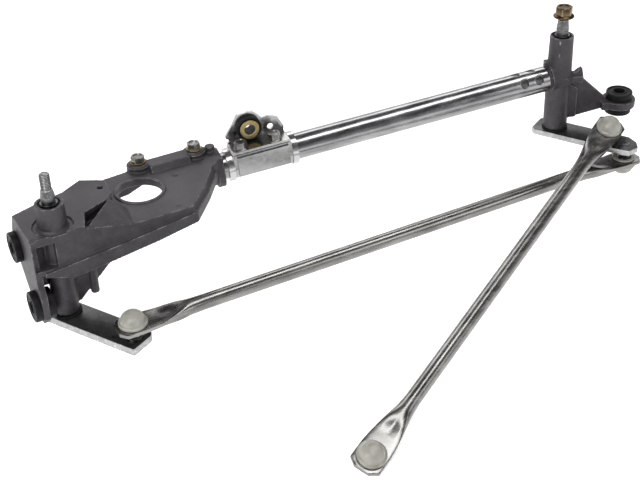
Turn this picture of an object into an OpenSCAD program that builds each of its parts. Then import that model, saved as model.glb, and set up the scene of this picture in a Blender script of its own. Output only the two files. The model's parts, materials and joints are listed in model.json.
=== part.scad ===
// Windscreen wiper linkage: a cast pivot bracket and a cast pivot housing
// joined by a tube, two pivot shafts with crank arms, a connecting link
// between the cranks and a drive link with a free ball socket.
// The origin is the centre of the lower left grommet; the modules below are
// drawn from the left pivot axis at the top face of the left crank.
// +X runs to the right pivot, +Z along both pivots.

/* [Layout] */
// Distance between the two pivot axes
pivot_gap = 463; // [400:1:520]
// Height of the right crank above the left one
right_lift = 28;
// Angle of both cranks from +X
crank_angle = -60.9;
// Radius of the ball joints of the connecting link
crank_r = 66;
// Ball joint of the drive link along and across the right crank
drive_r = 51.175;
drive_off = -3.69;
// Length of the drive link between ball centres
drive_len = 393.864;

/* [Shafts] */
shaft_r = 5;
thread_r = 4;
left_rim = 96;
right_rim = 116.6;

/* [Tube] */
tube_r = 11.1;
tube_in = 9.6;

/* [Ball joints] */
ball_r = 8;
ball_up = 12.5;

/* [Hidden] */
$fn = 64;

// from the left pivot to the lower left grommet
module placed() translate([19.5,6,-17]) children();
// axis of the tube, local X towards the right housing, origin on the right pivot
module on_tube(x=0) translate([pivot_gap,0,79]) rotate([0,-4.9,-9.98]) translate([x,0,0]) children();
module along_x(l,r) rotate([0,90,0]) cylinder(h=l,r=r);
module along_y(l,r) rotate([-90,0,0]) cylinder(h=l,r=r);
module on_right() translate([pivot_gap,0,0]) children();
module on_crank(r) rotate([0,0,crank_angle]) translate([r,0,0]) children();
module link_frame() rotate([0,0,0]) translate([crank_r*cos(crank_angle),crank_r*sin(crank_angle),ball_up]) rotate([0,-0.2475,0]) children();
module on_drive_ball() translate([pivot_gap,0,0]) rotate([0,0,crank_angle]) translate([drive_r,drive_off,0]) children();
module drive_frame() on_drive_ball() translate([0,0,right_lift+13.5]) rotate([0,0,-crank_angle]) rotate([-17.2812,12.1676,-153.7298]) children();

// ---------------------------------------------------------------- castings
module tower_bore(z0,z1,rim) {
  translate([0,0,z0-1]) cylinder(h=z1-z0+2,r=6.52);
  translate([0,0,rim-5.6]) cylinder(h=8,r=8.32);
}
module grommet_hole_x(y,z) translate([-30,y,z]) along_x(20,8.02);

// wedge that carries the lower plate up to the tower
module ramp() polyhedron(
  points=[[20.5,-13.9,74.5],[57,-13.9,67.02],[61,10,67.02],[49,15,76.9],[20.5,-13.9,63],[57,-13.9,63],[61,10,63],[49,15,63]],
  faces=[[0,3,1],[1,3,2],[0,1,5,4],[1,2,6,5],[2,3,7,6],[3,0,4,7],[4,5,6,7]]);

// sloped skirt below the lower plate on the right
module skirt() polyhedron(
  points=[[104.7,-13.7,66.7],[124.6,8.8,66.7],[143.6,35.2,66.7],[107.3,-16.8,60],[128.3,8.1,60],[146.9,33.5,60],[103.6,-12.5,60],[123.4,9.9,60],[142.6,36,60]],
  faces=[[0,1,4],[0,4,3],[1,2,5],[1,5,4],[3,4,7],[3,7,6],[4,5,8],[4,8,7],[1,0,6],[1,6,7],[2,1,7],[2,7,8],[0,3,6],[2,8,5]]);

module left_bracket() color([0.30,0.29,0.31]) difference() {
  union() {
    // plate round the tower
    translate([0,0,72]) linear_extrude(5) polygon([[-22,-8],[-16,-14],[19.7,-14],[26.4,5],[48.8,14.7],[54,21],[56,42],[51,45.5],[39,52.5],[21.7,42],[-3.3,35.1],[-22,28.5]]);
    // lower plate for the motor
    translate([0,0,62]) linear_extrude(5) polygon([[17,-13.8],[105,-13.8],[125,8.5],[144,35],[154,43],[157,62],[146,67],[93,70],[80,62.3],[56,60],[48,47],[48,22],[21,8]]);
    // step between the plates
    translate([0,0,62]) linear_extrude(12) polygon([[15.5,-13.1],[19.3,-13.1],[26,5.35],[48.5,15.1],[53.6,21.2],[55.5,41.6],[51.5,44],[50.5,24],[46,18.6],[23.6,8.9]]);
    ramp();
    // front wall and its lip
    translate([0,-10.5,0]) rotate([90,0,0]) linear_extrude(3.5) polygon([[-20,46],[-16,45],[6,38],[39,42.4],[74,47.3],[105,53.1],[105,66.9],[57.2,66.9],[20.6,74.4],[19.6,76.9],[-16,76.9],[-20,75]]);
    translate([0,-13.8,0]) rotate([90,0,0]) linear_extrude(3.2) polygon([[-15.2,45.2],[6,38.1],[39,42.5],[74,47.4],[106.8,53.5],[106.8,62.4],[50,55],[-15.2,48.2]]);
    // left end wall with the two grommet eyes
    translate([-22,0,0]) rotate([90,0,90]) linear_extrude(5) polygon([[-14,75],[-11,77],[28,77],[36,62],[37,48],[30,38],[8,10],[-1,4.5],[-13,4.5],[-18,10],[-18,28],[-14,40]]);
    // web and floor behind the window
    translate([0,0,47]) linear_extrude(26) polygon([[-21.9,-13],[-8,-3],[-8,3],[-21.9,3]]);
    translate([-21.9,-13,45.8]) cube([18.5,12,3.6]);
    translate([-18,1,27.5]) cube([11,3,21]);
    // rear wall
    translate([0,0,46]) linear_extrude(27) polygon([[-10,29.2],[21.6,38.6],[38.8,49.2],[50.4,42.4],[50.4,45],[39,51.8],[21.2,41.3],[-10,32]]);
    translate([0,0,46]) linear_extrude(20) polygon([[47,43],[50.3,43],[59,57],[59,60.6],[56,59.6],[47,46.4]]);
    translate([0,0,48]) linear_extrude(16) polygon([[56,58],[78,62],[93,70],[146,67],[157,62],[157,58.3],[145,63.3],[94,66.3],[79,58.4],[56,54.5]]);
    // sloped right wall and the lip that turns into it
    translate([0,0,52]) linear_extrude(14.9) polygon([[104.9,-13.9],[125,8.5],[144,35],[156.9,43],[157,62],[153.5,62],[153.5,45],[141,37],[122.6,11],[103.5,-10.6]]);
    translate([0,0,53.6]) linear_extrude(8.8) polygon([[103.4,-16.9],[107.4,-16.9],[128.4,8],[147,33.4],[143,36],[123.6,10],[103.4,-12]]);
    skirt();
    // pivot barrel
    translate([0,0,2]) cylinder(h=70,r1=9.6,r2=10.8);
    translate([0,0,70]) cylinder(h=left_rim-70,r1=11.05,r2=10.85);
    // gusset and peg beside the barrel
    translate([0,2,0]) rotate([90,0,0]) linear_extrude(4) polygon([[8,6],[12,7],[46,39],[58,48],[58,64],[16,64],[12,73],[4,73],[4,6]]);
    translate([23.5,-2,11]) cylinder(h=54,r=3.3);
    // stiffening ribs under the plates
    translate([58,-12,48]) cube([3,68,16]);
    translate([8,-1.5,60]) cube([50,3,6]);
    // barrel that takes the tube, with its collar
    on_tube(-346) along_x(36,14);
    on_tube(-316) along_x(6,16.4);
    // bosses for the motor bolts and the raised pad between them
    translate([91.6,63,56]) cylinder(h=14.6,r=9.5);
    translate([91.6,63,56]) cylinder(h=16,r=7.8);
    translate([138.7,59.5,56]) cylinder(h=14.6,r=9.5);
    translate([138.7,59.5,56]) cylinder(h=16,r=7.8);
    translate([97.4,0,0]) rotate([90,0,90]) linear_extrude(34) polygon([[46.8,66],[51,71.9],[64,71.9],[64,63],[46.8,63]]);
    translate([152,58,60]) cylinder(h=12,r=4);
    // rim of the motor opening
    translate([78.5,28,62]) cylinder(h=6.2,r=20);
    // small casting marks
    translate([112,37,66]) cylinder(h=1.6,r=2.2);
    translate([96,-7,66]) cylinder(h=1.4,r=1.8);
  }
  translate([0,0,0]) tower_bore(0,left_rim,left_rim);
  translate([78.5,28,40]) cylinder(h=40,r=17.5);
  // shallow recess round the tower
  translate([0,0,75.6]) difference() { cylinder(h=4,r=15.2); translate([0,0,-1]) cylinder(h=6,r=11.8); }
  // window in the front wall
  translate([-20.9,-20,49.5]) cube([16.9,9.8,21]);
  on_tube(-341) along_x(60,11.15);
  grommet_hole_x(24,53);
  grommet_hole_x(-6,17);
  translate([91.6,63,50]) cylinder(h=30,r=3.02);
  translate([138.7,59.5,50]) cylinder(h=30,r=3.02);
  translate([49,33,60]) cylinder(h=20,r=2.3);
}

module right_housing() color([0.31,0.30,0.32]) difference() {
  union() {
    on_right() translate([0,0,30]) cylinder(h=50,r1=10.5,r2=10.9);
    on_right() translate([0,0,78]) cylinder(h=right_rim-78,r1=10.9,r2=10.2);
    // collar above the tube stub
    on_right() translate([0,0,73]) cylinder(h=7,r=11.9);
    // stub inside the tube and its shoulder
    on_tube(-46) along_x(42,9.55);
    on_tube(-10.5) along_x(9,11.6);
    // web and arm
    on_right() rotate([0,0,-18.4]) {
      translate([0,2.5,0]) rotate([90,0,0]) linear_extrude(5)
        polygon([[7,84],[10.6,84],[12,80.6],[14.4,80.4],[17,82.4],[20.6,84.4],[22.8,73.7],[46,52],[47,43.5],[18,38.4],[7,38.4]]);
      translate([9.5,5,0]) rotate([90,0,0]) linear_extrude(10) polygon([[0,38.4],[7.5,38.4],[7.5,66],[0,72]]);
      translate([8,-6,72]) cube([12.5,12,6]);
      translate([40,-9,43.5]) cube([18,18,6.7]);
      translate([58.6,0,43.5]) cylinder(h=6.7,r=14.6);
    }
    // small lug on the far side
    on_right() rotate([0,0,150]) translate([9,-3,84]) cube([5,6,9]);
  }
  on_right() tower_bore(28,right_rim,right_rim);
  on_right() rotate([0,0,-18.4]) translate([58.6,0,40]) cylinder(h=14,r=8.02);
}

module cross_tube() color([0.80,0.81,0.82]) on_tube() difference() {
  translate([-340,0,0]) along_x(326.4,tube_r);
  translate([-341,0,0]) along_x(330,tube_in);
}

// ---------------------------------------------------------------- bushes and seals
module bush(h) color([0.72,0.56,0.28]) difference() { cylinder(h=h,r=6.48); translate([0,0,-1]) cylinder(h=h+2,r=shaft_r+0.04); }
module left_upper_bush() translate([0,0,75]) bush(15);
module left_lower_bush() translate([0,0,3]) bush(15);
module right_upper_bush() on_right() translate([0,0,95]) bush(15);
module right_lower_bush() on_right() translate([0,0,31]) bush(15);
module seal() color([0.05,0.05,0.05]) difference() {
  cylinder(h=4.4,r=8.28);
  translate([0,0,-1]) cylinder(h=7,r=shaft_r+0.35);
}
module left_seal() translate([0,0,left_rim-5.55]) seal();
module right_seal() on_right() translate([0,0,right_rim-5.55]) seal();

// ---------------------------------------------------------------- grommets
// axis Z, groove from 0 to g, flanges f thick on both sides
module grommet(g,f,ro,hole,groove) rotate_extrude() polygon([[hole,-f],[ro-1,-f],[ro,-f+1],[ro,-0.05],[groove,-0.05],[groove,g+0.05],[ro,g+0.05],[ro,g+f-1],[ro-1,g+f],[hole,g+f]]);
module left_upper_grommet() color([0.05,0.05,0.05]) translate([-22,24,53]) rotate([0,90,0]) grommet(5,5.5,12,5,7.95);
module left_lower_grommet() color([0.05,0.05,0.05]) translate([-22,-6,17]) rotate([0,90,0]) grommet(5,5.5,12,5,7.95);
module right_grommet() color([0.05,0.05,0.05]) on_right() rotate([0,0,-18.4]) translate([58.6,0,43.5]) grommet(6.7,6.6,11.6,5,7.95);

// ---------------------------------------------------------------- motor bolts
module motor_bolt() {
  translate([0,0,-9.5]) cylinder(h=11,r=3);
  translate([0,0,1.45]) rotate([0,0,20]) cylinder(h=4.6,r=5.77,$fn=6);
}
module motor_bolts() color([0.62,0.61,0.60]) { translate([91.6,63,72]) motor_bolt(); translate([138.7,59.5,72]) motor_bolt(); }
module motor_washer() difference() { translate([0,0,0.02]) cylinder(h=1.4,r=6.4); translate([0,0,-1]) cylinder(h=4,r=3.1); }
module motor_washers() color([0.66,0.55,0.25]) { translate([91.6,63,72]) motor_washer(); translate([138.7,59.5,72]) motor_washer(); }

// ---------------------------------------------------------------- clamp on the tube
module clamp_saddle() color([0.78,0.78,0.77]) on_tube() difference() {
  union() {
    translate([-305,0,0]) along_x(58,12.7);
    translate([-306,0,0]) along_x(5,14);
    translate([-251,0,0]) along_x(5,14);
    translate([-301,-12.6,0]) cube([50,22,13]);
    translate([-298,-14.2,-6]) cube([44,4,17]);
  }
  translate([-320,0,0]) along_x(90,tube_r+0.04);
  translate([-292,-6.5,8]) cylinder(h=8,r=3.02);
  translate([-263.5,-6.5,8]) cylinder(h=8,r=3.02);
}
module clamp_bracket() color([0.80,0.80,0.78]) on_tube() difference() {
  union() {
    translate([-300,-12,13.05]) cube([48,21,2.4]);
    translate([-281,8.6,0]) rotate([90,0,0]) linear_extrude(2.6) union() {
      polygon([[-19,13.05],[29,13.05],[30,19],[26,28],[17,31.5],[9,31],[6,39],[-8,39],[-13,31],[-20,22]]);
      translate([0,26.2]) circle(r=13.1);
    }
    translate([-299,5.9,15]) rotate([0,0,0]) cube([3,2.7,5]);
  }
  translate([-281,0,26.2]) along_y(20,8.02);
  translate([-292,-6.5,12]) cylinder(h=8,r=3.1);
  translate([-263.5,-6.5,12]) cylinder(h=8,r=3.1);
  translate([-300.5,0,17.8]) along_y(20,2);
  translate([-262.5,0,21.5]) along_y(20,2.6);
}
module clamp_bolt() {
  translate([0,0,-4.7]) cylinder(h=6.7,r=3);
  translate([0,0,0.02]) cylinder(h=1.4,r=6.2);
  translate([0,0,1]) rotate([0,0,12]) cylinder(h=5.6,r=5.5,$fn=6);
}
module clamp_bolts() color([0.75,0.75,0.74]) on_tube() { translate([-292,-6.5,15.45]) clamp_bolt(); translate([-263.5,-6.5,15.45]) clamp_bolt(); }
module clamp_grommet() color([0.05,0.05,0.05]) on_tube() translate([-281,6,26.2]) rotate([-90,0,0]) grommet(2.6,4.6,10.7,6.03,7.95);
module clamp_sleeve() color([0.62,0.50,0.28]) on_tube() translate([-281,0,26.2]) rotate([-90,0,0]) rotate_extrude() polygon([[4.2,0.2],[8.2,0.2],[8.2,1.35],[6,1.35],[6,13.2],[4.2,13.2]]);

// ---------------------------------------------------------------- pivots
module shaft(rim,tip,z0,seat) {
  // journal, riveted foot, taper for the wiper arm and thread
  translate([0,0,z0]) cylinder(h=rim-z0+3,r=shaft_r);
  translate([0,0,z0]) cylinder(h=2.9,r=7);
  translate([0,0,rim+2.5]) cylinder(h=3,r=5.3);
  translate([0,0,rim+5.5]) cylinder(h=seat,r1=5.4,r2=4.4);
  translate([0,0,rim+5.5+seat]) cylinder(h=tip-rim-5.5-seat,r=thread_r);
}
module left_shaft() color([0.78,0.78,0.78]) shaft(left_rim,120,-9,6);
module right_shaft() color([0.78,0.78,0.78]) on_right() shaft(right_rim,146,right_lift-8,9);
module snap_ring() difference() { cylinder(h=1.5,r=6.6); translate([0,0,-1]) cylinder(h=4,r=shaft_r+0.02); }
module left_snap_ring() color([0.85,0.85,0.85]) translate([0,0,left_rim-0.75]) snap_ring();
module right_snap_ring() color([0.85,0.85,0.85]) on_right() translate([0,0,right_rim-0.75]) snap_ring();
module thrust_washer() difference() { translate([0,0,0.02]) cylinder(h=1.5,r=11.4); translate([0,0,-1]) cylinder(h=4,r=shaft_r+0.03); }
module left_thrust_washer() color([0.06,0.06,0.06]) thrust_washer();
module right_thrust_washer() color([0.06,0.06,0.06]) on_right() translate([0,0,right_lift]) thrust_washer();

module left_crank() color([0.20,0.20,0.21]) rotate([0,0,crank_angle]) translate([0,0,-6]) difference() {
  linear_extrude(6) union() {
    polygon([[-14,-13],[74,-13],[75.5,-11.5],[75.5,5],[67.5,13],[-14,13],[-17.5,9.5],[-17.5,-9.5]]);
    translate([67.5,5]) circle(r=8);
  }
  translate([0,0,-1]) cylinder(h=8,r=shaft_r+0.01);
  translate([crank_r,0,-1]) cylinder(h=8,r=4.01);
}
module right_crank() color([0.20,0.20,0.21]) on_right() rotate([0,0,crank_angle]) translate([0,0,right_lift-5]) difference() {
  linear_extrude(5) polygon([[-14,-13],[67,-13],[74,-12],[78,-1],[74,7],[65,13],[-14,13],[-17.5,9.5],[-17.5,-9.5]]);
  translate([0,0,-1]) cylinder(h=8,r=shaft_r+0.01);
  translate([drive_r,drive_off,-1]) cylinder(h=8,r=4.01);
  translate([crank_r,0,-1]) cylinder(h=8,r=4.01);
}
// ball centre at the origin, foot plane at -b, crank t thick
module stud(b,t,head) {
  sphere(r=ball_r);
  translate([0,0,-b+1]) cylinder(h=b-2,r=3.9);
  translate([0,0,-b+0.02]) cylinder(h=2,r=6.6);
  translate([0,0,-b-t-0.5]) cylinder(h=t+2,r=4);
  translate([0,0,-b-t-head-0.02]) cylinder(h=head,r=head>1?6:4);
}
module left_ball_stud() color([0.72,0.72,0.72]) on_crank(crank_r) translate([0,0,ball_up]) stud(ball_up,6,1.8);
module right_upper_ball_stud() color([0.72,0.72,0.72]) on_drive_ball() translate([0,0,right_lift+13.5]) stud(13.5,5,0.4);
module right_lower_ball_stud() color([0.72,0.72,0.72]) on_right() on_crank(crank_r) translate([0,0,right_lift-5-13.2]) rotate([180,0,0]) stud(13.2,5,0.4);

module wiper_arm_nut() color([0.62,0.50,0.24]) on_right() translate([0,0,133.6]) difference() {
  union() {
    cylinder(h=1.2,r=8.95);
    translate([0,0,1.2]) cylinder(h=1.5,r1=8.95,r2=6.6);
    translate([0,0,1]) rotate([0,0,8]) cylinder(h=8.2,r=7.4,$fn=6);
  }
  translate([0,0,-1]) cylinder(h=12,r=thread_r+0.03);
}

// ---------------------------------------------------------------- links
// nylon socket, ball centre at the origin, dome towards +Z
module socket() difference() {
  rotate_extrude() polygon([[0,-5.8],[9.2,-5.8],[9.8,-5.2],[9.8,-4.6],[9.15,-4.2],[9.15,-0.52],[11,-0.52],[11,1.9],[10.6,2.3],[9.5,2.6],[9.1,4.6],[8.2,6.6],[6.6,8.3],[4.6,9.4],[2,9.9],[0,9.9]]);
  rotate([0,0,37]) sphere(r=ball_r+0.05);
  translate([0,0,-8]) rotate([0,0,37]) cylinder(h=3.8,r=6.8);
}
// flattened tube end round a socket, tube leaves along +X
module rod_end() intersection() {
  translate([0,0,-9]) linear_extrude(14) polygon([[-13,-6],[-9,-12],[15,-12.4],[36,-5.6],[44,-5.6],[44,5.6],[36,5.6],[15,12.4],[-9,12],[-13,6]]);
  translate([0,14,0]) rotate([90,0,0]) linear_extrude(28) polygon([[-14,-4.15],[22,-4.15],[44,-7.95],[44,3.25],[22,-0.55],[-14,-0.55]]);
}
module rod(len) difference() {
  union() {
    rod_end();
    translate([len,0,0]) mirror([1,0,0]) rod_end();
    translate([41,0,-2.35]) along_x(len-82,6);
  }
  translate([0,0,-12]) cylinder(h=24,r=9.2);
  translate([len,0,-12]) cylinder(h=24,r=9.2);
}
module connecting_rod() color([0.45,0.45,0.46]) link_frame() rod(462.984);
module connecting_left_socket() color([0.86,0.84,0.76]) link_frame() socket();
module connecting_right_socket() color([0.86,0.84,0.76]) link_frame() translate([462.984,0,-4.7]) rotate([180,0,0]) socket();
module drive_rod() color([0.42,0.42,0.44]) drive_frame() rod(drive_len);
module drive_crank_socket() color([0.86,0.84,0.76]) drive_frame() socket();
module drive_free_socket() color([0.86,0.84,0.76]) drive_frame() translate([drive_len,0,0]) socket();

placed() left_bracket();
placed() left_upper_bush();
placed() left_lower_bush();
placed() left_seal();
placed() left_upper_grommet();
placed() left_lower_grommet();
placed() motor_bolts();
placed() motor_washers();
placed() cross_tube();
placed() right_housing();
placed() right_upper_bush();
placed() right_lower_bush();
placed() right_seal();
placed() right_grommet();
placed() clamp_saddle();
placed() clamp_bracket();
placed() clamp_bolts();
placed() clamp_grommet();
placed() clamp_sleeve();
placed() left_shaft();
placed() left_crank();
placed() left_ball_stud();
placed() left_thrust_washer();
placed() left_snap_ring();
placed() right_shaft();
placed() right_crank();
placed() right_upper_ball_stud();
placed() right_lower_ball_stud();
placed() right_thrust_washer();
placed() right_snap_ring();
placed() wiper_arm_nut();
placed() connecting_rod();
placed() connecting_left_socket();
placed() connecting_right_socket();
placed() drive_rod();
placed() drive_crank_socket();
placed() drive_free_socket();
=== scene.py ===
import bpy, bmesh, json, math
from mathutils import Vector, Matrix, noise

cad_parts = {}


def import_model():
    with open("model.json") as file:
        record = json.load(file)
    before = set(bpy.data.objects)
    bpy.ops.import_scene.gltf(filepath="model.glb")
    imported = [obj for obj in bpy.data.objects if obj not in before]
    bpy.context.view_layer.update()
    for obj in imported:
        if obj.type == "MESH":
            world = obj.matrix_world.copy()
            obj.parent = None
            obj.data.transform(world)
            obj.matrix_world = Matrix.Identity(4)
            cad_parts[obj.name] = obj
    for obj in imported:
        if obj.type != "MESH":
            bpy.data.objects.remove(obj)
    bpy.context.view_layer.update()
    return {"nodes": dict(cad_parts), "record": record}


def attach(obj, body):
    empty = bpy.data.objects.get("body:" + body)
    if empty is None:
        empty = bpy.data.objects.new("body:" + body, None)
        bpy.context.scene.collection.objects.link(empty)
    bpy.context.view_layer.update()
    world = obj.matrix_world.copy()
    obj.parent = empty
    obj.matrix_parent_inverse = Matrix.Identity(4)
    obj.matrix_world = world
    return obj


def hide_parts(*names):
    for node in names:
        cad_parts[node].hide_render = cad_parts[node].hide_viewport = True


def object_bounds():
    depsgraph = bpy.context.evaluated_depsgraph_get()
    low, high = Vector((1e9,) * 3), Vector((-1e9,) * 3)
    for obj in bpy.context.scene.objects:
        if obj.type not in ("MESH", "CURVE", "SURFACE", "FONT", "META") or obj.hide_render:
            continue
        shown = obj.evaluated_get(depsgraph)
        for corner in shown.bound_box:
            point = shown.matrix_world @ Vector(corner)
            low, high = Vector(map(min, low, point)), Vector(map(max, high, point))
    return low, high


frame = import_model()
MM = 0.001
N = frame["nodes"]
# row frame origin is the lower left grommet; the layout below is drawn from the left pivot
SH = Vector((19.5, 6.0, -17.0))
GAP = 463.0
CA = math.radians(-60.9)

# ------------------------------------------------------------------ materials
def new_mat(name):
    m = bpy.data.materials.new(name)
    m.use_nodes = True
    nt = m.node_tree
    nt.nodes.clear()
    out = nt.nodes.new("ShaderNodeOutputMaterial")
    b = nt.nodes.new("ShaderNodeBsdfPrincipled")
    nt.links.new(b.outputs[0], out.inputs[0])
    return m, nt, b


def coords(nt, scale=(1, 1, 1), rot=(0, 0, 0)):
    tc = nt.nodes.new("ShaderNodeTexCoord")
    mp = nt.nodes.new("ShaderNodeMapping")
    mp.inputs["Scale"].default_value = scale
    mp.inputs["Rotation"].default_value = rot
    nt.links.new(tc.outputs["Object"], mp.inputs[0])
    return mp.outputs[0]


def noise_n(nt, vec, scale, detail=4.0, rough=0.55, dist=0.0):
    n = nt.nodes.new("ShaderNodeTexNoise")
    n.inputs["Scale"].default_value = scale
    n.inputs["Detail"].default_value = detail
    n.inputs["Roughness"].default_value = rough
    n.inputs["Distortion"].default_value = dist
    nt.links.new(vec, n.inputs["Vector"])
    return n.outputs["Fac"]


def ramp(nt, fac, stops):
    r = nt.nodes.new("ShaderNodeValToRGB")
    el = r.color_ramp.elements
    while len(el) > 1:
        el.remove(el[-1])
    el[0].position, el[0].color = stops[0][0], (*stops[0][1], 1)
    for p, c in stops[1:]:
        e = el.new(p)
        e.color = (*c, 1)
    nt.links.new(fac, r.inputs[0])
    return r.outputs[0]


def g(v):
    return (v, v, v)


def mix(nt, fac, a, b, mode="MIX"):
    m = nt.nodes.new("ShaderNodeMix")
    m.data_type = "RGBA"
    m.blend_type = mode
    if isinstance(fac, float):
        m.inputs[0].default_value = fac
    else:
        nt.links.new(fac, m.inputs[0])
    for s, v in ((6, a), (7, b)):
        if isinstance(v, tuple):
            m.inputs[s].default_value = (*v, 1) if len(v) == 3 else v
        else:
            nt.links.new(v, m.inputs[s])
    return m.outputs[2]


def bump(nt, b, height, strength, dist):
    n = nt.nodes.new("ShaderNodeBump")
    n.inputs["Strength"].default_value = strength
    n.inputs["Distance"].default_value = dist
    nt.links.new(height, n.inputs["Height"])
    nt.links.new(n.outputs[0], b.inputs["Normal"])
    return n


def pointy(nt, lo, hi):
    gm = nt.nodes.new("ShaderNodeNewGeometry")
    return ramp(nt, gm.outputs["Pointiness"], [(lo, g(0)), (hi, g(1))])


def cast_mat(name, dark=(0.0200, 0.0178, 0.0205), light=(0.0560, 0.0510, 0.0560)):
    m, nt, b = new_mat(name)
    v = coords(nt)
    big = noise_n(nt, v, 28, 5, 0.6)
    mid = noise_n(nt, v, 140, 6, 0.62, 0.4)
    fine = noise_n(nt, v, 1500, 3, 0.7)
    c1 = ramp(nt, mid, [(0.30, dark), (0.52, tuple((x + y) / 2 for x, y in zip(dark, light))), (0.74, light)])
    c2 = mix(nt, 0.35, c1, ramp(nt, big, [(0.35, (0.0155, 0.0138, 0.0160)), (0.65, (0.070, 0.0640, 0.0690))]))
    c2 = mix(nt, ramp(nt, fine, [(0.56, g(0)), (0.72, g(0.6))]), c2, (0.125, 0.119, 0.125))
    # painted highlight: convex edges are lifted to a light grey, broken up by the mid noise
    edge = pointy(nt, 0.512, 0.575)
    painted_edge_highlight = mix(nt, 1.0, edge, ramp(nt, mid, [(0.46, g(0.10)), (0.62, g(0.95))]), "MULTIPLY")
    c3 = mix(nt, painted_edge_highlight, c2, (0.34, 0.335, 0.335))
    # painted shade: concave creases and recesses are darkened to near black
    crev = pointy(nt, 0.44, 0.492)
    c4 = mix(nt, crev, (0.030, 0.029, 0.032), c3)
    nt.links.new(c4, b.inputs["Base Color"])
    b.inputs["Metallic"].default_value = 0.5
    r = ramp(nt, mid, [(0.3, g(0.46)), (0.7, g(0.60))])
    nt.links.new(r, b.inputs["Roughness"])
    h = mix(nt, 0.6, ramp(nt, fine, [(0.25, g(0)), (0.75, g(1))]), ramp(nt, mid, [(0.3, g(0)), (0.7, g(1))]))
    bump(nt, b, h, 0.35, 0.00012)
    return m


def metal_mat(name, c0, c1, rough=(0.22, 0.34), metallic=1.0, streak=None, edge=None, bumpd=0.00003, spot=None):
    m, nt, b = new_mat(name)
    v = coords(nt, streak or (1, 1, 1))
    n1 = noise_n(nt, v, 220, 5, 0.6, 0.3)
    n2 = noise_n(nt, coords(nt), 40, 4, 0.55)
    c = ramp(nt, n1, [(0.32, c0), (0.68, c1)])
    c = mix(nt, 0.3, c, ramp(nt, n2, [(0.35, tuple(x * 0.75 for x in c0)), (0.65, c1)]))
    if spot:
        n3 = noise_n(nt, coords(nt), 330, 6, 0.7, 0.6)
        c = mix(nt, ramp(nt, n3, [(0.56, g(0)), (0.66, g(1))]), c, spot)
    # painted highlight: convex edges are lifted to the given edge colour
    if edge:
        c = mix(nt, pointy(nt, 0.52, 0.58), c, edge)
    nt.links.new(c, b.inputs["Base Color"])
    b.inputs["Metallic"].default_value = metallic
    r = ramp(nt, n1, [(0.3, g(rough[0])), (0.7, g(rough[1]))])
    nt.links.new(r, b.inputs["Roughness"])
    bump(nt, b, n1, 0.3, bumpd)
    return m


def rubber_mat(name, c0=(0.0012, 0.0012, 0.0014), c1=(0.0042, 0.0042, 0.0046)):
    m, nt, b = new_mat(name)
    v = coords(nt)
    n1 = noise_n(nt, v, 300, 5, 0.6)
    n2 = noise_n(nt, v, 1800, 2, 0.5)
    c = ramp(nt, n1, [(0.35, c0), (0.7, c1)])
    # painted highlight: convex rims and edges are lifted to a dull grey
    painted_rim_highlight = pointy(nt, 0.51, 0.58)
    c = mix(nt, painted_rim_highlight, c, (0.016, 0.016, 0.016))
    b.inputs["Specular IOR Level"].default_value = 0.15
    nt.links.new(c, b.inputs["Base Color"])
    nt.links.new(ramp(nt, n1, [(0.3, g(0.42)), (0.7, g(0.62))]), b.inputs["Roughness"])
    bump(nt, b, n2, 0.25, 0.00005)
    return m


def nylon_mat(name):
    m, nt, b = new_mat(name)
    v = coords(nt)
    n1 = noise_n(nt, v, 120, 4, 0.55)
    n2 = noise_n(nt, v, 900, 3, 0.6)
    c = ramp(nt, n1, [(0.3, (0.205, 0.200, 0.172)), (0.7, (0.300, 0.294, 0.262))])
    crev = pointy(nt, 0.42, 0.49)
    c = mix(nt, crev, (0.26, 0.24, 0.20), c)
    nt.links.new(c, b.inputs["Base Color"])
    nt.links.new(ramp(nt, n1, [(0.3, g(0.26)), (0.7, g(0.38))]), b.inputs["Roughness"])
    b.inputs["Subsurface Weight"].default_value = 0.35
    b.inputs["Subsurface Radius"].default_value = (0.0022, 0.0019, 0.0014)
    b.inputs["Subsurface Scale"].default_value = 1.0
    bump(nt, b, n2, 0.12, 0.00004)
    return m


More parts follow.
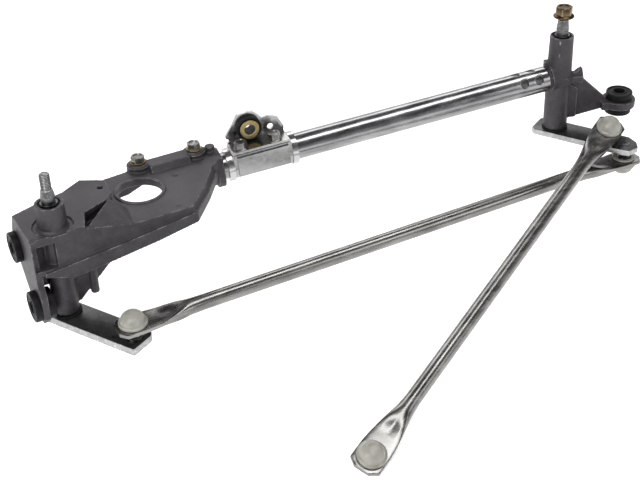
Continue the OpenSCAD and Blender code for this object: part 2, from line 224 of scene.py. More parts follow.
M = {
    "casting": cast_mat("die_cast_aluminium"),
    "zinc_tube": metal_mat("bright_zinc_tube", (0.185, 0.185, 0.187), (0.36, 0.36, 0.362), (0.16, 0.27), streak=(0.12, 1, 1)),
    "bushes": metal_mat("sintered_bronze", (0.50, 0.36, 0.17), (0.66, 0.50, 0.28), (0.35, 0.5)),
    "seals": rubber_mat("seal_rubber"),
    "grommets": rubber_mat("grommet_rubber"),
    "thrust": rubber_mat("black_moulded_washer", (0.002, 0.002, 0.002), (0.007, 0.007, 0.007)),
    "bolts": metal_mat("zinc_bolt", (0.085, 0.082, 0.078), (0.22, 0.215, 0.205), (0.25, 0.4), edge=(0.38, 0.375, 0.365)),
    "washers": metal_mat("yellow_zinc", (0.13, 0.10, 0.045), (0.27, 0.22, 0.115), (0.3, 0.45)),
    "clamp": metal_mat("stamped_zinc", (0.29, 0.29, 0.29), (0.40, 0.40, 0.397), (0.17, 0.25), edge=(0.46, 0.46, 0.455), bumpd=0.00001),
    "sleeve": metal_mat("turned_brass", (0.20, 0.150, 0.060), (0.40, 0.325, 0.165), (0.3, 0.45)),
    "shafts": metal_mat("turned_steel", (0.048, 0.048, 0.049), (0.18, 0.18, 0.183), (0.34, 0.48), edge=(0.46, 0.46, 0.46)),
    "cranks": metal_mat("dark_crank_steel", (0.013, 0.0125, 0.014), (0.050, 0.048, 0.051), (0.26, 0.42), 0.85, edge=(0.36, 0.36, 0.36), spot=(0.10, 0.098, 0.098)),
    # painted reflection: a light steel stands in for the white floor mirrored in the crank side faces
    "crank_edge": metal_mat("crank_side_painted_reflection", (0.24, 0.24, 0.24), (0.46, 0.46, 0.455), (0.3, 0.45), spot=(0.62, 0.62, 0.62)),
    "stake": metal_mat("stake_dent_painted_shade", (0.035, 0.035, 0.036), (0.16, 0.16, 0.163), (0.26, 0.4)),
    "studs": metal_mat("ground_ball", (0.10, 0.10, 0.102), (0.26, 0.26, 0.262), (0.15, 0.25)),
    "rings": metal_mat("spring_steel", (0.030, 0.030, 0.031), (0.115, 0.115, 0.117), (0.25, 0.4)),
    "nut": metal_mat("worn_yellow_zinc", (0.032, 0.019, 0.009), (0.105, 0.070, 0.037), (0.26, 0.40), edge=(0.30, 0.245, 0.17), spot=(0.035, 0.022, 0.012)),
    "rods": metal_mat("grey_zinc_rod", (0.135, 0.132, 0.128), (0.28, 0.275, 0.265), (0.20, 0.33), streak=(0.15, 1, 1)),
    "nylon": nylon_mat("natural_nylon"),
}
SLOT = {s["node"]: s.get("material_slot", s["node"]) for s in frame["record"]["subparts"]}
for n, o in N.items():
    o.data.materials.clear()
    o.data.materials.append(M[SLOT[n]])

# ------------------------------------------------------------------ frames
def T(x=0, y=0, z=0):
    return Matrix.Translation(Vector((x, y, z)))


def R(a, axis):
    return Matrix.Rotation(math.radians(a), 4, axis)


BASE = T(*SH)
RIGHT = BASE @ T(GAP, 0, 0)
TUBE = RIGHT @ T(0, 0, 79) @ R(-9.98, "Z") @ R(-4.9, "Y")
ARM = RIGHT @ R(-18.4, "Z")
LCR = BASE @ R(-60.9, "Z")
RCR = RIGHT @ R(-60.9, "Z")
LINK = BASE @ T(66 * math.cos(CA), 66 * math.sin(CA), 12.5) @ R(-0.2475, "Y")
DBALL = RCR @ T(51.175, -3.69, 41.5)
DRIVE = DBALL @ R(60.9, "Z") @ R(-153.7298, "Z") @ R(12.1676, "Y") @ R(-17.2812, "X")
FLIP = R(180, "X")


def obj(name, me, mat, body, smooth=40):
    me.materials.clear()
    me.materials.append(M[mat])
    o = bpy.data.objects.new(name, me)
    bpy.context.scene.collection.objects.link(o)
    for p in me.polygons:
        p.use_smooth = True
    if smooth:
        bm = bmesh.new()
        bm.from_mesh(me)
        a = math.radians(smooth)
        for e in bm.edges:
            e.smooth = not (len(e.link_faces) == 2 and e.calc_face_angle(0) > a)
        bm.to_mesh(me)
        bm.free()
    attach(o, body)
    return o


def bake(bm, mat4):
    bmesh.ops.recalc_face_normals(bm, faces=bm.faces)
    me = bpy.data.meshes.new("m")
    bm.to_mesh(me)
    bm.free()
    me.transform(Matrix.Scale(MM, 4) @ mat4)
    return me


def rounded(profile, rad, seg=4):
    """Round the corners of a closed profile; rad is a number or a list."""
    out = []
    n = len(profile)
    for i in range(n):
        p0, p1, p2 = Vector(profile[i - 1]), Vector(profile[i]), Vector(profile[(i + 1) % n])
        r = rad[i] if isinstance(rad, (list, tuple)) else rad
        a, c = (p0 - p1), (p2 - p1)
        la, lc = a.length, c.length
        if r <= 0 or la < 1e-6 or lc < 1e-6:
            out.append(tuple(p1))
            continue
        a.normalize()
        c.normalize()
        ang = a.angle(c)
        if ang > math.pi - 0.02:
            out.append(tuple(p1))
            continue
        t = min(r / math.tan(ang / 2), la * 0.48, lc * 0.48)
        s, e = p1 + a * t, p1 + c * t
        for k in range(seg + 1):
            u = k / seg
            q = s * (1 - u) ** 2 + p1 * 2 * u * (1 - u) + e * u * u
            out.append(tuple(q))
    return out


def lathe(name, profile, mat, body, mat4, seg=96, fn=None, smooth=40):
    """Closed profile of (r, z) turned about Z. fn(theta, r, z) gives a new radius."""
    bm = bmesh.new()
    prof = list(profile)
    rings = []
    for r, z in prof:
        if r < 1e-5:
            rings.append([bm.verts.new((0, 0, z))])
        else:
            ring = []
            for k in range(seg):
                t = 2 * math.pi * k / seg
                rr = fn(t, r, z) if fn else r
                ring.append(bm.verts.new((rr * math.cos(t), rr * math.sin(t), z)))
            rings.append(ring)
    closed = prof[0][0] > 1e-5 or prof[-1][0] > 1e-5
    pairs = list(zip(rings, rings[1:]))
    if closed:
        pairs.append((rings[-1], rings[0]))
    for a, b in pairs:
        if len(a) == 1 and len(b) == 1:
            continue
        for k in range(seg):
            j = (k + 1) % seg
            if len(a) == 1:
                bm.faces.new((a[0], b[k], b[j]))
            elif len(b) == 1:
                bm.faces.new((a[k], a[j], b[0]))
            else:
                bm.faces.new((a[k], a[j], b[j], b[k]))
    return obj(name, bake(bm, mat4), mat, body, smooth)


def prism(name, poly, z0, z1, mat, body, mat4, ch=0.5, seg=3, holes=()):
    """Flat plate with rounded rims: the outline is inset in steps near both faces."""
    bm = bmesh.new()
    n = len(poly)
    area = sum(poly[i - 1][0] * poly[i][1] - poly[i][0] * poly[i - 1][1] for i in range(n))
    if area < 0:
        poly = poly[::-1]

    def inset(d, pts):
        res = []
        m = len(pts)
        for i in range(m):
            p0, p1, p2 = Vector(pts[i - 1]), Vector(pts[i]), Vector(pts[(i + 1) % m])
            e1, e2 = (p1 - p0), (p2 - p1)
            if e1.length < 1e-6 or e2.length < 1e-6:
                res.append(tuple(p1))
                continue
            n1 = Vector((-e1.y, e1.x)).normalized()
            n2 = Vector((-e2.y, e2.x)).normalized()
            b = (n1 + n2)
            if b.length < 1e-3:
                b = n1
            b.normalize()
            k = max(0.35, b.dot(n1))
            res.append(tuple(p1 + b * d / k))
        return res

    loops = []
    for k in range(seg + 1):
        a = math.pi / 2 * k / seg
        loops.append((z0 + ch * (1 - math.sin(a)), ch * (1 - math.cos(a))))
    loops = [(z0 + ch * (1 - math.cos(math.pi / 2 * k / seg)), ch * (1 - math.sin(math.pi / 2 * k / seg))) for k in range(seg + 1)]
    tops = [(z1 - (z - z0), d) for z, d in reversed(loops)]
    rings = []
    for z, d in loops + tops:
        rings.append([bm.verts.new((x, y, z)) for x, y in inset(d, poly)])
    for a, b in zip(rings, rings[1:]):
        for i in range(n):
            j = (i + 1) % n
            bm.faces.new((a[i], a[j], b[j], b[i]))
    bm.faces.new(list(reversed(rings[0])))
    bm.faces.new(rings[-1])
    return obj(name, bake(bm, mat4), mat, body)


def hexhead(name, af, z0, z1, mat, body, mat4, rot=0, dome=0.0, cup=0.0):
    """Hexagon head with a chamfered crown."""
    bm = bmesh.new()
    seg = 96
    R6 = af / 2 / math.cos(math.pi / 6)

    def rad(t):
        u = (t + math.pi / 6) % (math.pi / 3) - math.pi / 6
        return min(af / 2 / math.cos(u), R6 - 0.12)

    levels = [(z0, 0.96), (z0 + 0.15, 1.0)]
    h = z1 - z0
    zs = [z0, z0 + 0.2]
    rings = []
    prof = [(0.0, z0, 0), (0.97, z0, 1), (1.0, z0 + 0.15, 1)]
    steps = 6
    for k in range(steps + 1):
        prof.append((None, z1 - (steps - k) / steps * 0.18 * af / 2 * 0.9, 2))
    cr = af / 2 * 0.95
    for kind in prof:
        ring = []
        for k in range(seg):
            t = 2 * math.pi * k / seg
            if kind[0] is not None:
                r = rad(t) * kind[0]
            else:
                lim = cr + (z1 - kind[1]) * 1.75
                r = min(rad(t), lim)
            ring.append(bm.verts.new((r * math.cos(t), r * math.sin(t), kind[1])) if r > 1e-6 else None)
        rings.append(ring)
    rings = rings[1:]
    top = []
    for k in range(seg):
        t = 2 * math.pi * k / seg
        top.append(bm.verts.new((cr * 0.93 * math.cos(t), cr * 0.93 * math.sin(t), z1 + 0.02)))
    rings.append(top)
    if cup > 0:
        for rr, zz in ((0.78, z1 - 0.02), (0.66, z1 - cup), (0.3, z1 - cup)):
            rings.append([bm.verts.new((cr * rr * math.cos(2 * math.pi * k / seg), cr * rr * math.sin(2 * math.pi * k / seg), zz)) for k in range(seg)])
    for a, b in zip(rings, rings[1:]):
        for k in range(seg):
            j = (k + 1) % seg
            bm.faces.new((a[k], a[j], b[j], b[k]))
    bm.faces.new(list(reversed(rings[0])))
    bm.faces.new(rings[-1])
    return obj(name, bake(bm, mat4 @ R(rot, "Z")), mat, body, 25)


def thread(name, r, pitch, z0, z1, mat, body, mat4, chamfer=0.8, depth=None, seg=48):
    """Solid screw thread about Z."""
    depth = depth or pitch * 0.6
    bm = bmesh.new()
    nz = int((z1 - z0) / pitch * 8)
    rings = []
    for i in range(nz + 1):
        z = z0 + (z1 - z0) * i / nz
        ring = []
        for k in range(seg):
            t = 2 * math.pi * k / seg
            u = ((z - z0) / pitch - k / seg) % 1.0
            tri = abs(u - 0.5) * 2
            rr = r - depth * min(1, max(0, (tri - 0.12) / 0.8))
            end = min(z1 - z, 99)
            if end < chamfer:
                rr = min(rr, r - (chamfer - end) * 0.9)
            ring.append(bm.verts.new((rr * math.cos(t), rr * math.sin(t), z)))
        rings.append(ring)
    for a, b in zip(rings, rings[1:]):
        for k in range(seg):
            j = (k + 1) % seg
            bm.faces.new((a[k], a[j], b[j], b[k]))
    bm.faces.new(list(reversed(rings[0])))
    bm.faces.new(rings[-1])
    return obj(name, bake(bm, mat4), mat, body, 50)


# ------------------------------------------------------------------ castings
def cast_finish(node, voxel, it):
    o = N[node]
    rm = o.modifiers.new("cast_skin", "REMESH")
    rm.mode = "VOXEL"
    rm.voxel_size = voxel * MM * 1.0
    rm.use_smooth_shade = True
    sm = o.modifiers.new("cast_radii", "SMOOTH")
    sm.factor = 0.5
    sm.iterations = it


cast_finish("left_bracket", 0.5, 5)
cast_finish("right_housing", 0.45, 5)


def bevelled(node, w=0.35, seg=3, ang=35):
    o = N[node]
    bv = o.modifiers.new("edge", "BEVEL")
    bv.width = w * MM
    bv.segments = seg
    bv.limit_method = "ANGLE"
    bv.angle_limit = math.radians(ang)
    bv.harden_normals = False
    for p in o.data.polygons:
        p.use_smooth = True
    wn = o.modifiers.new("normals", "WEIGHTED_NORMAL")
    wn.keep_sharp = True


# ------------------------------------------------------------------ tube
def tube_piece():
    bm = bmesh.new()
    seg, L0, L1 = 192, -340.0, -13.6
    stakes = [(-22.5, 60), (-36.5, 60), (-26.0, -12), (-40.5, -12)]
    xs = [L0 + (L1 - L0) * i / 60 for i in range(50)]
    x = xs[-1]
    while x < L1 - 0.4:
        x += 0.35
        xs.append(min(x, L1 - 0.0))
    if xs[-1] != L1:
        xs.append(L1)

    def r_out(x, t):
        r = 11.1
        for sx, sa in stakes:
            a = math.radians(90 + sa) if False else math.radians(sa)
            # the stake is a D shaped dent, straight on its right side
            du = (x - sx)
            dv = 11.1 * ((t - a + math.pi) % (2 * math.pi) - math.pi)
            d = math.hypot(du / 5.2, dv / 4.9)
            if d < 1 and du < 2.6:
                s = min(1, (1 - d) / 0.24, max(0, (2.6 - du) / 0.6))
                s = s * s * (3 - 2 * s)
                r -= 1.42 * s
        edge = min(L1 - x, x - L0)
        if edge < 0.4:
            r -= 0.25 * (1 - edge / 0.4)
        return r

    rings = []
    for x in xs:
        ring = []
        for k in range(seg):
            t = 2 * math.pi * k / seg
            rr = r_out(x, t)
            # t = 0 faces up, turning towards the viewer
            ring.append(bm.verts.new((x, -rr * math.sin(t), rr * math.cos(t))))
        rings.append(ring)
    for x in (L1, L0):
        ring = []
        for k in range(seg):
            t = 2 * math.pi * k / seg
            ring.append(bm.verts.new((x, -9.6 * math.sin(t), 9.6 * math.cos(t))))
        rings.append(ring)
    dent = []
    for a, b in list(zip(rings, rings[1:])) + [(rings[-1], rings[0])]:
        for k in range(seg):
            j = (k + 1) % seg
            bm.faces.new((a[k], b[k], b[j], a[j]))
            rm = sum(math.hypot(v.co.y, v.co.z) for v in (a[k], b[k], b[j], a[j])) / 4
            dent.append(9.65 < rm < 10.35)
    o = obj("tube_body", bake(bm, TUBE), "zinc_tube", "bracket_frame", 45)
    # painted shade: faces at the bottom of the stake dents take a darker steel
    o.data.materials.append(M["stake"])
    for p, d in zip(o.data.polygons, dent):
        if d:
            p.material_index = 1
    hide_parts("cross_tube")


tube_piece()


# ------------------------------------------------------------------ rubber grommets and sleeves
def grommet(name, node, gap, f, ro, hole, groove, mat4, ribs=True):
    prof = [(hole, -f), (hole + 1.2, -f), (hole + 1.9, -f + 0.55), (ro - 2.6, -f + 0.55), (ro - 2.0, -f), (ro, -f), (ro, -0.06), (groove, -0.06), (groove, gap + 0.06), (ro, gap + 0.06), (ro, gap + f), (ro - 2.0, gap + f), (ro - 2.6, gap + f - 0.55), (hole + 1.9, gap + f - 0.55), (hole + 1.2, gap + f), (hole, gap + f)]
    rad = [0.5, 0.3, 0.3, 0.3, 0.3, 1.1, 0.6, 0.2, 0.2, 0.6, 1.1, 0.3, 0.3, 0.3, 0.3, 0.5]
    o = lathe(name, rounded(prof, rad), "grommets", "bracket_frame", mat4, 96, smooth=50)
    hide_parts(node)


grommet("grommet_left_upper", "left_upper_grommet", 5, 5.5, 12, 5, 7.95, BASE @ T(-22, 24, 53) @ R(90, "Y"))
grommet("grommet_left_lower", "left_lower_grommet", 5, 5.5, 12, 5, 7.95, BASE @ T(-22, -6, 17) @ R(90, "Y"))
grommet("grommet_right", "right_grommet", 6.7, 6.6, 11.6, 5, 7.95, ARM @ T(58.6, 0, 43.5))
CG = TUBE @ T(-281, 0, 26.2) @ R(-90, "X")
grommet("grommet_clamp", "clamp_grommet", 2.6, 4.6, 10.7, 6.05, 7.95, CG @ T(0, 0, 6))
o = lathe("sleeve_clamp", rounded([(4.5, 0.2), (8.2, 0.2), (8.2, 1.35), (6.0, 1.35), (6.0, 13.2), (4.5, 13.2)], [0.35, 0.5, 0.4, 0.2, 0.2, 0.2]), "sleeve", "bracket_frame", CG, 96)
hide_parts("clamp_sleeve")
# painted shade: a thin black liner inside the sleeve bore stands in for the shade down the hole
lathe("sleeve_clamp_bore_shade_liner", [(4.2, 0.6), (4.5, 0.3), (4.5, 13.15), (4.2, 13.15)], "thrust", "bracket_frame", CG, 96)

# ------------------------------------------------------------------ clamp on the tube
for n in ("clamp_saddle", "clamp_bracket"):
    bevelled(n, 0.9, 4, 30)

# ------------------------------------------------------------------ bolts
for i, (x, y, rot) in enumerate(((91.6, 63, 20), (138.7, 59.5, 47))):
    B = BASE @ T(x, y, 72)
    h = hexhead(f"motor_bolt_head_{i+1}", 10, 1.45, 6.0, "bolts", "bracket_frame", B, rot, cup=0.8)
    s = thread(f"motor_bolt_shank_{i+1}", 2.98, 1.0, -9.5, 1.5, "bolts", "bracket_frame", B @ T(0, 0, -8) @ FLIP)
    w = lathe(f"motor_washer_{i+1}", rounded([(3.1, 0.03), (6.4, 0.03), (6.4, 1.42), (3.1, 1.42)], 0.35), "washers", "bracket_frame", B)
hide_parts("motor_bolts")
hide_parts("motor_washers")
for i, (x, rot) in enumerate(((-292, 12), (-263.5, 33))):
    B = TUBE @ T(x, -6.5, 15.45)
    h = hexhead(f"clamp_bolt_head_{i+1}", 9.5, 1.42, 6.6, "bolts", "bracket_frame", B, rot, cup=0.7)
    w = lathe(f"clamp_bolt_flange_{i+1}", rounded([(0, 0.03), (6.2, 0.03), (6.2, 0.7), (5.2, 1.5), (0, 1.5)], [0, 0.3, 0.3, 0.2, 0]), "bolts", "bracket_frame", B)
    s = thread(f"clamp_bolt_shank_{i+1}", 2.98, 1.0, -0.2, 4.7, "bolts", "bracket_frame", B @ FLIP)
    if i == 0:
        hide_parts("clamp_bolts")

# ------------------------------------------------------------------ seals, rings, washers
for side, Mx, rim, body in (("left", BASE, 96.0, "left_pivot"), ("right", RIGHT, 116.6, "right_pivot")):
    o = lathe(f"seal_{side}", rounded([(5.35, rim - 5.5), (8.28, rim - 5.5), (8.28, rim - 1.15), (7.2, rim - 1.15), (6.7, rim - 2.0), (6.1, rim - 2.0), (5.35, rim - 1.6)], [0.2, 0.3, 0.4, 0.2, 0.2, 0.2, 0.2]), "seals", "bracket_frame", Mx)
    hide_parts(f"{side}_seal")
    o = lathe(f"ring_{side}", rounded([(5.02, rim - 0.75), (6.6, rim - 0.75), (6.6, rim + 0.7), (5.02, rim + 0.7)], 0.25), "rings", body, Mx)
    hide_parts(f"{side}_snap_ring")
    z0 = 0 if side == "left" else 28
    o = lathe(f"washer_{side}", rounded([(5.03, z0 + 0.03), (11.4, z0 + 0.03), (11.4, z0 + 1.5), (5.03, z0 + 1.5)], 0.45), "thrust", body, Mx)
    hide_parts(f"{side}_thrust_washer")


# ------------------------------------------------------------------ shafts
def shaft(side, Mx, rim, tip, z0, seat, body):
    zc = rim + 5.5
    o = lathe(f"shaft_{side}", rounded([(0, z0), (5.6, z0), (7, z0 + 0.8), (7, z0 + 2.9), (5, z0 + 2.9), (5, rim + 2.5), (5.3, rim + 2.7), (5.3, zc - 0.4), (4.6, zc), (0, zc)], [0, 0.5, 0.5, 0.4, 0.2, 0.3, 0.2, 0.3, 0.3, 0]), "shafts", body, Mx)
    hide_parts(f"{side}_shaft")
    prof = [(0, zc - 0.2), (4.9, zc - 0.2)]
    k = 24
    for i in range(k + 1):
        u = i / k
        prof.append((5.4 + (4.45 - 5.4) * u, zc + 0.2 + (seat - 0.6) * u))
    prof += [(4.0, zc + seat), (0, zc + seat)]

    def kn(t, r, z):
        u = min(1, (z - zc) / 0.8, (zc + seat - z) / 0.8)
        if u <= 0 or r < 4.2:
            return r
        return r - 0.32 * u * (0.5 - 0.5 * math.cos(44 * t))
    lathe(f"knurl_{side}", prof, "shafts", body, Mx, 352, kn, smooth=60)
    thread(f"thread_{side}", 3.98, 1.25, zc + seat - 0.1, tip, "shafts", body, Mx, depth=0.62, seg=56)
    # centre hole in the tip is drawn as a shallow dished face
    lathe(f"tip_{side}", rounded([(0, tip - 0.3), (2.9, tip - 0.3), (2.9, tip + 0.02), (1.4, tip + 0.02), (0.6, tip - 0.2), (0, tip - 0.2)], [0, 0.1, 0.1, 0.1, 0.1, 0]), "shafts", body, Mx)


shaft("left", BASE, 96, 120, -9, 6, "left_pivot")
shaft("right", RIGHT, 116.6, 140.5, 20, 9, "right_pivot")

# nut with its flange
NM = RIGHT @ T(0, 0, 133.6)
o = hexhead("nut_hex", 13, 1.5, 9.2, "nut", "right_pivot", NM, 8, cup=0.9)
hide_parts("wiper_arm_nut")
lathe("nut_flange", rounded([(4.03, 0), (8.95, 0), (8.95, 1.1), (6.9, 2.7), (4.03, 2.7)], [0.2, 0.35, 0.6, 0.8, 0.2]), "nut", "right_pivot", NM, 128)


# ------------------------------------------------------------------ cranks and ball studs
def arc(cx, cy, r, a0, a1, n=10):
    return [(cx + r * math.cos(math.radians(a0 + (a1 - a0) * i / n)), cy + r * math.sin(math.radians(a0 + (a1 - a0) * i / n))) for i in range(n + 1)]


lc = [(-14, -13), (73.8, -13)] + arc(73.9, -11.4, 1.6, -90, 0, 5) + arc(67.5, 5, 8, 0, 90, 12) + [(-14, 13), (-17.5, 9.5), (-17.5, -9.5)]
o = prism("crank_left", lc, -6, 0, "cranks", "left_pivot", LCR, 0.55, 3)
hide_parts("left_crank")
rc = rounded([(-14, -13), (67, -13), (74, -12), (78, -1), (74, 7), (65, 13), (-14, 13), (-17.5, 9.5), (-17.5, -9.5)], 0.9, 3)
o = prism("crank_right", rc, 23, 28, "cranks", "right_pivot", RCR, 0.5, 3)
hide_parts("right_crank")


# painted reflection: the crank side faces take the light crank_edge steel
for o in (bpy.data.objects["crank_left"], bpy.data.objects["crank_right"]):
    o.data.materials.append(M["crank_edge"])
    for p in o.data.polygons:
        if abs(p.normal.z) < 0.9:
            p.material_index = 1


def stud(name, node, b, t, head, body, mat4):
    prof = [(0, 8.0)]
    a0 = math.acos(3.9 / 8.0)
    for i in range(1, 28):
        a = math.pi / 2 - (math.pi / 2 + a0) * i / 27
        prof.append((8 * math.cos(a), 8 * math.sin(a)))
    prof += [(3.9, -b + 2.6), (4.4, -b + 2.05), (6.1, -b + 2.05), (6.6, -b + 1.6), (6.6, -b + 0.03), (3.98, -b + 0.03), (3.98, -b - t)]
    if head > 1:
        prof += [(4.0, -b - t - 0.02), (6.0, -b - t - 0.03), (5.7, -b - t - 0.9), (4.2, -b - t - head), (0, -b - t - head)]
    else:
        prof += [(3.9, -b - t - head), (0, -b - t - head)]
    o = lathe(name, prof, "studs", body, mat4, 72, smooth=45)
    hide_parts(node)


stud("stud_left", "left_ball_stud", 12.5, 6, 1.8, "left_pivot", LCR @ T(66, 0, 12.5))
stud("stud_right_upper", "right_upper_ball_stud", 13.5, 5, 0.4, "right_pivot", DBALL)
stud("stud_right_lower", "right_lower_ball_stud", 13.2, 5, 0.4, "right_pivot", RCR @ T(66, 0, 9.8) @ FLIP)


# ------------------------------------------------------------------ nylon sockets
def socket(name, node, body, mat4):
    prof = [(0, 9.9), (2.0, 9.86), (4.2, 9.5), (6.2, 8.6), (7.8, 7.2), (8.9, 5.2), (9.35, 3.4), (9.6, 2.45), (10.3, 2.25), (11.0, 1.9), (11.0, -0.5), (9.15, -0.52), (9.15, -4.2), (9.8, -4.6), (9.8, -5.2), (9.2, -5.8), (6.8, -5.8)]
    prof = rounded(prof, [0, 1, 1, 1, 1, 1, 0.8, 0.5, 0.3, 0.5, 0.4, 0.15, 0.2, 0.3, 0.3, 0.3, 0.3], 2)
    r = 8.05
    a0 = math.asin(-math.sqrt(r * r - 6.8 * 6.8) / r)
    for i in range(0, 25):
        a = a0 + (math.pi / 2 - a0) * i / 24
        prof.append((max(0.0, r * math.cos(a)) if i < 24 else 0.0, r * math.sin(a)))
    o = lathe(name, prof, "nylon", body, mat4, 96, smooth=50)
    # a moulding ring on the dome
    lathe(name + "_ring", rounded([(4.3, 9.2), (5.0, 9.15), (4.8, 9.62), (4.4, 9.64)], 0.1), "nylon", body, mat4, 72)
    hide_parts(node)


socket("socket_connecting_left", "connecting_left_socket", "connecting_link", LINK)
socket("socket_connecting_right", "connecting_right_socket", "connecting_link", LINK @ T(462.984, 0, -4.7) @ FLIP)
socket("socket_drive_crank", "drive_crank_socket", "drive_link", DRIVE)
socket("socket_drive_free", "drive_free_socket", "drive_link", DRIVE @ T(393.864, 0, 0))


# ------------------------------------------------------------------ link rods pressed from tube
def rod(name, node, L, body, mat4, end_cut=0.0):
    """One loft: a flat double wall at each end, a creased flare, a round middle."""
    seg = 96
    half = seg // 2

    def sm(u):
        u = max(0.0, min(1.0, u))
        return u * u * (3 - 2 * u)

    def section(x):
        d = min(x + 13.0, L + 13.0 - x)          # distance from the nearer end
        c = d - 13.0                              # from the socket centre
        f = sm((c - 18.0) / 27.0)                 # 0 flat .. 1 round
        w = 6.0 + 6.1 * (1 - sm((c - 3.0) / 56.0))
        if d < 7.0:
            w = 6.2 + (12.0 - 6.2) * (d / 4.2) if d < 4.2 else 12.0 + 0.1 * (d - 4.2)
        elif c < 14:
            w = min(w, 12.1)
        h = 1.8 + (6.0 - 1.8) * f
        return w, h, f

    def ring_pts(x):
        w, h, f = section(x)
        pts = []
        p = 2.0 + (1 - f) * 10.0                  # superellipse power
        for k in range(seg):
            t = 2 * math.pi * k / seg
            cx, sx = math.cos(t), math.sin(t)
            y = w * math.copysign(abs(cx) ** (2.0 / (2 + (1 - f) * 1.2)), cx)
            z = h * math.copysign(abs(sx) ** (2.0 / p), sx)
            # pinch along the middle where the tube starts to collapse
            fold = math.exp(-((f - 0.35) / 0.28) ** 2) if 0.02 < f < 0.98 else 0.0
            z -= math.copysign(1, sx) * fold * 0.9 * max(0, 1 - abs(y) / (w * 0.62)) * (0.35 if sx < 0 else 1.0)
            pts.append((y, z))
        return pts

    xs = [-13, -12.9, -12.6, -12, -11, -10, -9.2, -8.8, -8.4, -7, -5]
    xs += [-3 + 1.0 * i for i in range(0, 51)]
    mid = [48 + (L - 96) * i / 40 for i in range(1, 40)]
    allx = xs + mid + [L - x for x in reversed(xs)]
    bm = bmesh.new()
    rings = []
    for x in allx:
        rings.append([bm.verts.new((x, y, z - 2.35)) for y, z in ring_pts(x)])
    for a, b in zip(rings, rings[1:]):
        for k in range(seg):
            j = (k + 1) % seg
            bm.faces.new((a[k], b[k], b[j], a[j]))
    bm.faces.new(rings[0])
    bm.faces.new(list(reversed(rings[-1])))
    o = obj(name, bake(bm, mat4), "rods", body, 38)
    # holes for the sockets
    for i, x in enumerate((0.0, L)):
        cb = bmesh.new()
        bmesh.ops.create_cone(cb, cap_ends=True, segments=96, radius1=9.2, radius2=9.2, depth=14, matrix=T(x, 0, -2.35))
        me = bake(cb, mat4)
        cut = bpy.data.objects.new(f"cut_{name}_{i}", me)
        bpy.context.scene.collection.objects.link(cut)
        md = o.modifiers.new(f"hole_{i}", "BOOLEAN")
        md.operation = "DIFFERENCE"
        md.solver = "EXACT"
        md.object = cut
        bpy.context.view_layer.update()
        dg = bpy.context.evaluated_depsgraph_get()
        res = bpy.data.meshes.new_from_object(o.evaluated_get(dg))
        o.modifiers.clear()
        old = o.data
        o.data = res
        bpy.data.meshes.remove(old)
        bpy.data.objects.remove(cut)
    # lip of the double wall: a fine seam line round the flat ends
    bv = o.modifiers.new("edge", "BEVEL")
    bv.width = 0.25 * MM
    bv.segments = 2
    bv.limit_method = "ANGLE"
    bv.angle_limit = math.radians(55)
    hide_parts(node)
    return o


rod("rod_connecting", "connecting_rod", 462.984, "connecting_link", LINK)
rod("rod_drive", "drive_rod", 393.864, "drive_link", DRIVE)

# ------------------------------------------------------------------ studio
def stage_mat():
    m, nt, b = new_mat("studio_sweep")
    v = coords(nt)
    n1 = noise_n(nt, v, 3, 2, 0.5)
    nt.links.new(ramp(nt, n1, [(0.3, (0.84, 0.84, 0.84)), (0.7, (0.88, 0.88, 0.88))]), b.inputs["Base Color"])
    b.inputs["Emission Color"].default_value = (1, 1, 1, 1)
    b.inputs["Emission Strength"].default_value = 0.52
    b.inputs["Roughness"].default_value = 0.9
    return m


lo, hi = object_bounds()
zf = lo[2] - 0.0005
bm = bmesh.new()
ys = []
pts = [(-3.0, zf)]
for i in range(13):
    a = math.radians(90 * i / 12)
    pts.append((1.6 + 0.8 * math.sin(a), zf + 0.8 * (1 - math.cos(a))))
pts.append((2.4, 3.2))
prev = None
for y, z in [(-3.0, zf)] + pts[1:]:
    a, b_ = bm.verts.new((-4, y, z)), bm.verts.new((4.5, y, z))
    if prev:
        bm.faces.new((prev[0], prev[1], b_, a))
    prev = (a, b_)
me = bpy.data.meshes.new("sweep")
bm.to_mesh(me)
bm.free()
for p in me.polygons:
    p.use_smooth = True
floor = bpy.data.objects.new("studio_sweep", me)
bpy.context.scene.collection.objects.link(floor)
floor.data.materials.append(stage_mat())

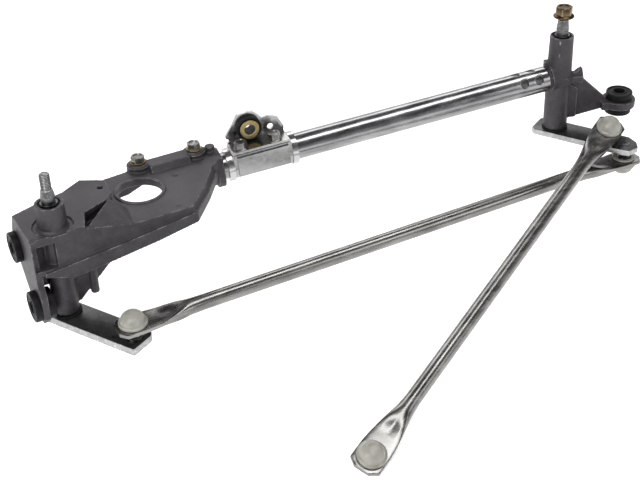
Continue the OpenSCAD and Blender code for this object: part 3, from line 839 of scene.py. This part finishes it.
world = bpy.data.worlds.new("studio")
bpy.context.scene.world = world
world.use_nodes = True
wnt = world.node_tree
bg = wnt.nodes["Background"]
tc = wnt.nodes.new("ShaderNodeTexCoord")
sep = wnt.nodes.new("ShaderNodeSeparateXYZ")
wnt.links.new(tc.outputs["Generated"], sep.inputs[0])
rr = wnt.nodes.new("ShaderNodeValToRGB")
rr.color_ramp.elements[0].position = 0.05
rr.color_ramp.elements[0].color = (0.75, 0.75, 0.76, 1)
rr.color_ramp.elements[1].position = 0.42
rr.color_ramp.elements[1].color = (0.16, 0.16, 0.165, 1)
wnt.links.new(sep.outputs[2], rr.inputs[0])
wnt.links.new(rr.outputs[0], bg.inputs[0])
bg.inputs[1].default_value = 0.8


def area(name, loc, target, size, power, col=(1, 1, 1)):
    l = bpy.data.lights.new(name, "AREA")
    l.shape = "RECTANGLE"
    l.size, l.size_y = size
    l.energy = power
    l.color = col
    o = bpy.data.objects.new(name, l)
    bpy.context.scene.collection.objects.link(o)
    o.location = loc
    d = Vector(target) - Vector(loc)
    o.rotation_euler = d.to_track_quat("-Z", "Y").to_euler()
    return o


c = Vector([(a + b_) / 2 for a, b_ in zip(lo, hi)])
area("key", c + Vector((-1.15, -0.55, 0.85)), c, (0.9, 0.9), 20)
area("top", c + Vector((0.15, -0.35, 1.35)), c, (1.5, 0.35), 11)
area("fill", c + Vector((0.9, -1.2, 0.6)), c, (0.9, 0.6), 5)
area("back", c + Vector((0.5, 1.3, 1.15)), c, (1.9, 0.4), 8)

# ------------------------------------------------------------------ camera
cam = bpy.data.cameras.new("camera")
cam.sensor_width = 36.0
cam.lens = 1221.3 / 640.0 * 36.0
cam.clip_start = 0.05
cam.clip_end = 20
co = bpy.data.objects.new("camera", cam)
bpy.context.scene.collection.objects.link(co)
e, roll, yaw = 0.575046, -0.033743, 0.490376
f0 = Vector((math.sin(yaw), math.cos(yaw), 0))
r0 = Vector((math.cos(yaw), -math.sin(yaw), 0))
u0 = Vector((0, 0, 1))
fw = f0 * math.cos(e) - u0 * math.sin(e)
up = u0 * math.cos(e) + f0 * math.sin(e)
rt = r0 * math.cos(roll) + up * math.sin(roll)
up2 = up * math.cos(roll) - r0 * math.sin(roll)
rm = Matrix((rt, up2, -fw)).transposed()
pos = (Vector((-184.5, -758.1, 546.0)) + SH) * MM
co.matrix_world = Matrix.Translation(pos) @ rm.to_4x4()
bpy.context.scene.camera = co
bpy.context.scene.view_settings.view_transform = "Standard"
bpy.context.scene.view_settings.look = "None"
bpy.context.scene.view_settings.exposure = 0.0
